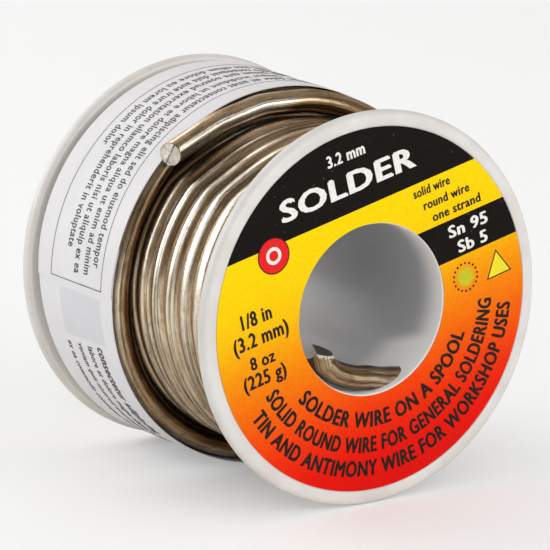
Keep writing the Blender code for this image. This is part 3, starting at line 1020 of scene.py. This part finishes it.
def make_tail(material, lead_material, cut_material, nipped_material):
    """The wire's inner end, lying in the bore and nipped to a chisel point."""
    points = with_fine_end(tail_path(), NIP_REACH, 0.07)
    tail = tube("inner_tail_wire", points, TAIL_RADIUS, 72, 0.0, tail_section,
                materials=[material, cut_material, nipped_material])
    inward = (place(0.0, 0.0, TAIL_KNOTS[-1][3]) - points[-1]).normalized()
    back = (points[-2] - points[-1]).normalized()
    nip_end(tail, points[-1], back, inward * 0.42 - TOWARD_FRONT * 0.91)
    lead = tube("lead_in_wire", lead_in_path(), WIRE_RADIUS * 0.97, 20, 0.0, drawn_section, [lead_material])
    put_on_spool(lead, "solder")
    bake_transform(tail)
    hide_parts("inner_tail")


# ---------------------------------------------------------------- face label


def make_face_label(gradient, black):
    """The printed film: a thin ring disc, split along the edges of its black areas."""
    inner, outer = FILM_HOLE, FACE_LABEL_RADIUS
    profile = [(inner, FILM_THICKNESS), (inner, 0.02), (inner + 0.03, 0.0),
               (outer - 0.03, 0.0), (outer, 0.02), (outer, FILM_THICKNESS)]
    shape = turned_shape(profile, SPOOL_STEPS)
    tilt = math.radians(PRINT_TILT)
    across = Vector((-math.sin(tilt), 0.0, math.cos(tilt)))
    for rise in (TOP_BLACK_RISE, *BAND_BLACK_RISES):
        geometry = list(shape.verts) + list(shape.edges) + list(shape.faces)
        bmesh.ops.bisect_plane(shape, geom=geometry, plane_co=across * rise * MM, plane_no=across, dist=1e-8)
    for face in shape.faces:
        middle = face.calc_center_median()
        rise = middle.dot(across) / MM
        in_band = BAND_BLACK_RISES[0] < rise < BAND_BLACK_RISES[1] and middle.x > 0
        face.material_index = int(rise > TOP_BLACK_RISE or in_band)
    film = new_object("face_label_film", mesh_from("face_label_film", shape, 30.0), gradient, black)
    put_on_spool(film, "label_print", "face_label")


def flat_map(x, y, z, at, tilt=PRINT_TILT):
    """Maps a point of a print onto the face label; at is where the print's origin goes."""
    turn = math.radians(tilt)
    across = at[0] + x * math.cos(turn) - y * math.sin(turn)
    up = at[1] + x * math.sin(turn) + y * math.cos(turn)
    return Vector((across, SPOOL_LOW.y - INK_GAP - z, up)) * MM


def curve_mesh(curve):
    """The mesh that a flat curve or a text makes."""
    obj = new_object("print", curve)
    mesh = evaluated_mesh(obj)
    bpy.data.objects.remove(obj, do_unlink=True)
    return mesh


def text_mesh(words, height, weight):
    """A closed thin mesh of words in the x, y plane, in millimetres; height is that of a capital.

    The strokes are made heavier by three copies, set apart by weight times the height.
    """
    curve = bpy.data.curves.new("print", "FONT")
    curve.body = words
    curve.size = height / CAPITAL_SHARE
    curve.extrude = INK_THICKNESS / 2
    curve.resolution_u = 3
    curve.space_character = LETTER_SPACING
    letters = curve_mesh(curve)
    shape = bmesh.new()
    spread = weight * height
    for layer, (right, up) in enumerate(((-1.0, -0.5), (1.0, -0.5), (0.0, 0.5))):
        copy = letters.copy()
        for vert in copy.vertices:
            vert.co += Vector((right * spread, up * spread, INK_THICKNESS / 2 + layer * 0.003))
        shape.from_mesh(copy)
        bpy.data.meshes.remove(copy)
    shape.to_mesh(letters)
    shape.free()
    return letters


def outline_mesh(outline, holes):
    """A thin flat mesh from an outline and holes, in the x, y plane, in millimetres."""
    curve = bpy.data.curves.new("print", "CURVE")
    curve.dimensions = "2D"
    curve.fill_mode = "BOTH"
    curve.extrude = INK_THICKNESS / 2
    for ring in (outline, *holes):
        spline = curve.splines.new("POLY")
        spline.points.add(len(ring) - 1)
        for control, (x, y) in zip(spline.points, ring):
            control.co = (x, y, 0.0, 1.0)
        spline.use_cyclic_u = True
    mesh = curve_mesh(curve)
    for vert in mesh.vertices:
        vert.co.z += INK_THICKNESS / 2
    return mesh


def circle(radius, steps, center=(0.0, 0.0)):
    return arc(*center, radius, 0.0, 360.0, steps)[:-1]


class Print:
    """Collects prints of one ink, and turns them into one piece that rides on the spool."""

    def __init__(self, name, ink, slot):
        self.name, self.ink, self.slot = name, ink, slot
        self.shape = bmesh.new()

    def add(self, mesh, mapping):
        """Adds a mesh whose points go through mapping(x, y, z)."""
        for vert in mesh.vertices:
            vert.co = mapping(*vert.co)
        self.shape.from_mesh(mesh)
        bpy.data.meshes.remove(mesh)

    def add_mark(self, outline, at, holes=(), tilt=PRINT_TILT, lift=0.0):
        """Adds a flat mark to the face label, with its origin at a point of the label."""
        self.add(outline_mesh(outline, holes), lambda x, y, z: flat_map(x, y, z + lift, at, tilt))

    def finish(self):
        bmesh.ops.remove_doubles(self.shape, verts=self.shape.verts, dist=1e-7)
        put_on_spool(new_object(self.name, mesh_from(self.name, self.shape), self.ink), self.slot)


def text_width(mesh):
    """The width of a text and its leftmost x."""
    xs = [vert.co.x for vert in mesh.vertices]
    return max(xs) - min(xs), min(xs)


def print_straight(ink, words, at, height, length, middle=False, weight=0.055):
    """Words of a given length along the tilt of the label; at is the start of the baseline, or its middle."""
    mesh = text_mesh(words, height, weight)
    full, left = text_width(mesh)
    shift = length / 2 if middle else 0.0
    ink.add(mesh, lambda x, y, z: flat_map((x - left) * length / full - shift, y, z, at))


def print_arc(ink, words, base_radius, height, start, end):
    """Words along an arc below the bore, with the tops of the letters toward the bore."""
    mesh = text_mesh(words, height, 0.07)
    full, left = text_width(mesh)
    per_mm = (end - start) / full
    ink.add(mesh, lambda x, y, z: place(start + per_mm * (x - left), base_radius - y, -INK_GAP - z))


def make_face_print(inks):
    """Generic wording and plain marks of the face label."""
    prints = [Print("face_print_" + color, ink, "label_print") for color, ink in inks.items()]
    black, white, red, yellow, green = prints

    print_straight(white, "SOLDER", (-14.6, 13.75), 2.9, 22.3, weight=0.06)
    print_straight(white, "3.2 mm", (-4.3, 20.95), 1.6, 6.2, middle=True)
    print_straight(white, "Sn 95", (12.6, 8.1), 1.65, 6.6)
    print_straight(white, "Sb 5", (14.2, 5.9), 1.65, 5.0)
    for words, at, length in (("solid wire", (6.7, 14.3), 6.1), ("round wire", (8.4, 12.55), 7.7),
                              ("one strand", (9.9, 10.8), 8.1)):
        print_straight(black, words, at, 1.25, length)
    for words, at, height, length in (
            ("1/8 in", (-18.5, 0.65), 2.0, 4.9), ("(3.2 mm)", (-17.75, -2.1), 2.0, 8.9),
            ("8 oz", (-17.5, -5.15), 1.7, 4.0), ("(225 g)", (-17.1, -7.65), 1.9, 6.9)):
        print_straight(black, words, at, height, length, middle=True)
    for words, radius, start, end in (("SOLDER WIRE ON A SPOOL", 16.15, -138.0, -19.0),
                                      ("SOLID ROUND WIRE FOR GENERAL SOLDERING", 19.65, -151.0, -3.0),
                                      ("TIN AND ANTIMONY WIRE FOR WORKSHOP USES", 22.9, -148.0, -5.0)):
        print_arc(black, words, radius, 2.1, start, end)
    add_ring_mark(black, red, white, (-15.95, 9.55))
    add_badge(green, black, (15.35, 2.4))
    add_triangle(black, yellow, ((20.3, 5.6), (18.95, 1.45), (23.0, 2.45)))
    for ink in prints:
        ink.finish()


def add_ring_mark(black, red, white, at):
    """A red disc with a black border and a plain white ring."""
    black.add_mark(circle(2.52, 64), at, [circle(2.36, 64)])
    red.add_mark(circle(2.4, 64), at)
    white.add_mark(circle(1.2, 48), at, [circle(0.72, 48)], lift=0.01)


def add_badge(green, black, at):
    """A green dot in a ring of small black ones."""
    green.add_mark(circle(1.3, 40), at)
    for center in circle(1.95, 18):
        black.add_mark(circle(0.17, 10, center), at)


def add_triangle(black, yellow, corners):
    """A yellow triangle with a black border."""
    middle = [sum(values) / 3 for values in zip(*corners)]

    def shrunk(share):
        return [((x - middle[0]) * share, (y - middle[1]) * share) for x, y in corners]
    black.add_mark(shrunk(1.0), middle, [shrunk(0.86)], tilt=0.0)
    yellow.add_mark(shrunk(0.87), middle, tilt=0.0)


# ---------------------------------------------------------------- wrap label


# The paper's edges: angle and depth
PAPER_FRONT_KNOTS = ((90.0, 22.5), (150.0, 22.55), (180.0, 23.2), (212.0, 23.85), (260.0, 23.7),
                     (330.0, 22.6), (450.0, 22.5))
PAPER_REAR_KNOTS = ((90.0, 41.9), (165.0, 41.9), (192.0, 41.25), (220.0, 40.7), (270.0, 41.2),
                    (340.0, 41.9), (450.0, 41.9))


def paper_radius(angle, depth):
    """Outer radius of the paper; angle runs from the hidden start of the strip to its lapped outer end."""
    lap = smooth((angle - (PAPER_LAP_END + 360.0 - PAPER_LAP - PAPER_RISE)) / PAPER_RISE)
    turn = math.radians(angle)
    ripple = 0.06 * noise.noise(Vector((math.cos(turn) * 2.2, math.sin(turn) * 2.2, depth * 0.12)))
    crown = 0.0175 * math.cos((depth - LAST_TURN_KNOTS[0][2]) / TURN_PITCH * 2 * math.pi)
    return WRAP_RADIUS - 0.17 + (PAPER_THICKNESS + 0.03) * lap + ripple + crown


def paper_edges(angle):
    """Depths of the strip's front and rear edge."""
    within = (angle - 90.0) % 360.0 + 90.0
    return ease(PAPER_FRONT_KNOTS, within)[0], ease(PAPER_REAR_KNOTS, within)[0]


def make_wrap(material):
    """One strip of paper round the rear turns, with its outer end lapped over its start."""
    start = PAPER_LAP_END - PAPER_LAP
    end = PAPER_LAP_END + 360.0
    along_steps, across_steps = 300, 26
    shape = bmesh.new()
    layer = shape.loops.layers.uv.new("paper")
    sheets = []
    spots = {}
    for inset in (0.0, PAPER_THICKNESS):
        sheet = []
        for i in range(along_steps + 1):
            angle = start + (end - start) * i / along_steps
            front, rear = paper_edges(angle)
            row = []
            for j in range(across_steps + 1):
                depth = front + (rear - front) * j / across_steps
                vert = shape.verts.new(place(angle, paper_radius(angle, depth) - inset, depth))
                spots[vert] = (angle - 360.0 if angle > 450.0 else angle, depth)
                row.append(vert)
            sheet.append(row)
        sheets.append(sheet)
    top, bottom = sheets
    for i in range(along_steps):
        for j in range(across_steps):
            shape.faces.new((top[i][j], top[i + 1][j], top[i + 1][j + 1], top[i][j + 1]))
            shape.faces.new((bottom[i][j], bottom[i][j + 1], bottom[i + 1][j + 1], bottom[i + 1][j]))
        for j in (0, across_steps):
            shape.faces.new((top[i][j], bottom[i][j], bottom[i + 1][j], top[i + 1][j]))
    for i in (0, along_steps):
        for j in range(across_steps):
            shape.faces.new((top[i][j], top[i][j + 1], bottom[i][j + 1], bottom[i][j]))
    for face in shape.faces:
        for loop in face.loops:
            loop[layer].uv = spots[loop.vert]
    paper = new_object("wrap_paper", mesh_from("wrap_paper", shape, 40.0), material)
    put_on_spool(paper, "label_paper", "wrap_label")


FILLER = (
    "lorem ipsum dolor sit amet consectetur adipiscing elit sed do eiusmod tempor incididunt ut labore et "
    "dolore magna aliqua ut enim ad minim veniam quis nostrud exercitation ullamco laboris nisi ut aliquip "
    "ex ea commodo consequat duis aute irure dolor in reprehenderit in voluptate velit esse cillum dolore eu"
).split()

# Lines of the boxed text: depth, end angle and number of words; and of the second block: depth, start angle,
# number of words, letter height and weight
BOX_LINES = ((28.0, 172.0, 12), (30.2, 175.0, 12), (32.5, 175.5, 12), (34.7, 168.5, 11), (36.9, 136.5, 8))
SECOND_BLOCK_LINES = ((28.8, 197.0, 2, 1.7, 0.06), (31.4, 198.0, 11, 1.25, 0.035),
                      (33.9, 198.0, 12, 1.25, 0.035), (36.6, 198.5, 10, 1.25, 0.035))
BOX_ANGLES = (20.0, 178.4)
BOX_DEPTHS = (WRAP_FRONT_PRINT, 38.3)
BOX_RULE = 0.11
BOX_LETTER = 1.45
PAPER_LETTER_WIDTH = 0.7


def filler_line(start, count):
    return " ".join(FILLER[(start + i) % len(FILLER)] for i in range(count))


def print_on_paper(ink, words, depth, height, start=None, end=None, weight=0.03, turn=360.0):
    """A line of words round the paper, from a start angle or up to an end angle.

    It reads toward larger angles, with letter tops toward the front. Turn is 360 on the paper's outer end.
    """
    mesh = text_mesh(words, height, weight)
    full, left = text_width(mesh)
    degrees = math.degrees(full * PAPER_LETTER_WIDTH / WRAP_RADIUS)
    if start is None:
        start = end - degrees

    def mapping(x, y, z):
        angle = start + degrees * (x - left) / full
        return place(angle, paper_radius(angle + turn, depth - y) + INK_GAP + z, depth - y)
    ink.add(mesh, mapping)


def paper_rule(ink, rows):
    """A thin printed rule on the paper's outer end, through rows of (angle, lowest depth, highest depth)."""
    rings = []
    for angle, low, high in rows:
        ring = []
        for depth, lift in ((low, 0.0), (high, 0.0), (high, INK_THICKNESS), (low, INK_THICKNESS)):
            radius = paper_radius(angle + 360.0, depth) + INK_GAP + lift
            ring.append(ink.shape.verts.new(place(angle, radius, depth)))
        rings.append(ring)
    skin(ink.shape, rings)


def make_wrap_print(ink):
    """Filler text in a thin box, and the start of a second block beyond the seam."""
    small = Print("wrap_print", ink, "label_paper")
    first, last = BOX_ANGLES
    steps = round((last - first) / 1.5)
    half = BOX_RULE / 2
    for depth in BOX_DEPTHS:
        paper_rule(small, [(first + (last - first) * i / steps, depth - half, depth + half)
                           for i in range(steps + 1)])
    spread = math.degrees(half / WRAP_RADIUS)
    for angle in (last, first):
        paper_rule(small, [(angle + side * spread, *BOX_DEPTHS) for side in (-1, 1)])
    for index, (depth, end, count) in enumerate(BOX_LINES):
        print_on_paper(small, filler_line(index * 11, count), depth, BOX_LETTER, end=end)
    for index, (depth, start, count, height, weight) in enumerate(SECOND_BLOCK_LINES):
        words = filler_line(5 + index * 9, count)
        print_on_paper(small, words, depth, height, start, weight=weight, turn=0.0)
    small.finish()


# ---------------------------------------------------------------- stage, light and camera


def make_stage():
    """The floor that the spool stands on."""
    shape = bmesh.new()
    bmesh.ops.create_grid(shape, x_segments=8, y_segments=8, size=1.5)
    mesh = bpy.data.meshes.new("floor")
    shape.to_mesh(mesh)
    shape.free()
    floor = new_object("floor", mesh, make_floor_material())
    floor.location.z = SPOOL_LOW.z * MM


def make_world():
    """White to the camera, an even white for matt surfaces, and a room with soft patches for reflections."""
    world = bpy.data.worlds.new("studio")
    bpy.context.scene.world = world
    world.use_nodes = True
    world.node_tree.nodes.clear()
    w = Nodes(world.node_tree)
    x, y, z = w.axes(w.add("TexCoord").outputs["Generated"])
    from_back = w.degrees(x, y)
    from_front = w.degrees(x, w.times(y, -1.0))
    elevation = w.times(w.math("ARCSINE", z), 180.0 / math.pi)
    room = w.mix(w.scale_range(y, -0.5, 0.5), linear(116, 98, 76), linear(150, 128, 100))
    room = w.mix(w.scale_range(elevation, 58.0, 72.0), room, linear(156, 136, 108))
    # Wall round the strip, strip, front softbox and big softbox: each edge as two angles, and the colour
    for azimuth, left, right, bottom, top, color in (
            (from_back, (-20.0, -8.0), (44.0, 32.0), (-6.0, 2.0), (42.0, 28.0), (0.7, 0.63, 0.53, 1.0)),
            (from_back, (-14.0, -7.0), (20.0, 8.0), (-8.0, 2.0), (68.0, 52.0), (2.6, 2.45, 2.25, 1.0)),
            (from_front, (-6.0, 8.0), (42.0, 30.0), (-24.0, -8.0), (46.0, 28.0), (2.6, 2.5, 2.35, 1.0)),
            (from_back, (-90.0, -70.0), (-16.0, -27.0), (-4.0, 14.0), (54.0, 38.0), (4.4, 4.3, 4.1, 1.0))):
        patch = w.times(w.window(azimuth, left, right), w.window(elevation, bottom, top))
        room = w.mix(patch, room, color)
    paths = w.add("LightPath").outputs
    white = (1.0, 1.0, 1.0, 1.0)
    shine, matt, seen = [w.add("Background", color, strength).outputs[0]
                         for color, strength in ((room, 1.0), (white, 0.7), (white, 1.0))]
    glossy_or_matt = w.add("MixShader", paths["Is Glossy Ray"], matt, shine).outputs[0]
    final = w.add("MixShader", paths["Is Camera Ray"], glossy_or_matt, seen).outputs[0]
    w.add("OutputWorld", final)


def area_light(name, toward, distance, size, energy, color=(1.0, 1.0, 1.0)):
    """A rectangular light that points at the spool and doesn't show in reflections."""
    light = bpy.data.lights.new(name, "AREA")
    light.shape = "RECTANGLE"
    light.size, light.size_y = size
    light.energy = energy
    light.color = color
    obj = new_object(name, light)
    direction = Vector(toward).normalized()
    obj.location = direction * distance
    obj.rotation_euler = (-direction).to_track_quat("-Z", "Y").to_euler()
    obj.visible_glossy = False


def make_camera():
    """Long lens from the front left and a little above, turned a hair about its axis."""
    azimuth, elevation, roll = math.radians(-34.13), math.radians(13.94), math.radians(0.13)
    distance, lens = 767.8, 367.1
    aim = Vector((-0.16, 0.12, 0.05)) * MM
    back = Vector((math.sin(azimuth) * math.cos(elevation), -math.cos(azimuth) * math.cos(elevation),
                   math.sin(elevation)))
    camera = bpy.data.cameras.new("camera")
    camera.lens = lens
    camera.sensor_width = 36.0
    camera.clip_start = 0.05
    camera.clip_end = 20.0
    obj = new_object("camera", camera)
    obj.location = aim + back * distance * MM
    look = (-back).to_track_quat("-Z", "Y")
    look.rotate(Quaternion(back, roll))
    obj.rotation_euler = look.to_euler()
    bpy.context.scene.camera = obj


# ---------------------------------------------------------------- the whole scene


# Printing inks: fresh and worn colour
INKS = {
    "black": ((26, 21, 16), (44, 36, 26)),
    "white": ((240, 238, 234), (226, 222, 216)),
    "red": ((232, 24, 30), (222, 34, 34)),
    "yellow": ((240, 226, 30), (226, 214, 60)),
    "green": ((190, 200, 40), (204, 176, 30)),
}

white_plastic = make_white_plastic()
solder = make_solder("solder")
make_spool(white_plastic)
cut_solder = make_cut_solder()
make_strand(solder, cut_solder)
# The tail's painted crest highlight is turned 90 degrees round the wire, its die lines lie twice as close and
# its whole colour is darker
make_tail(make_solder("solder_tail", 90.0, 2.0, -0.24), solder, cut_solder, make_nipped_solder())
make_face_label(make_label_gradient(), make_label_black())
make_face_print({color: make_ink(color, *tones) for color, tones in INKS.items()})
make_wrap(make_label_paper())
make_wrap_print(make_ink("gray", (60, 60, 66), (96, 96, 102)))
make_stage()
make_world()
area_light("key_softbox", (-0.5, 0.8, 0.5), 0.6, (0.5, 0.4), 1.0, (1.0, 0.98, 0.95))
area_light("front_fill", (0.25, -1.0, 0.35), 0.7, (0.5, 0.5), 1.4)
area_light("front_beam", (-0.62, -0.75, 0.5), 0.9, (0.12, 0.12), 0.55)
make_camera()
bpy.context.scene.view_settings.view_transform = "Standard"
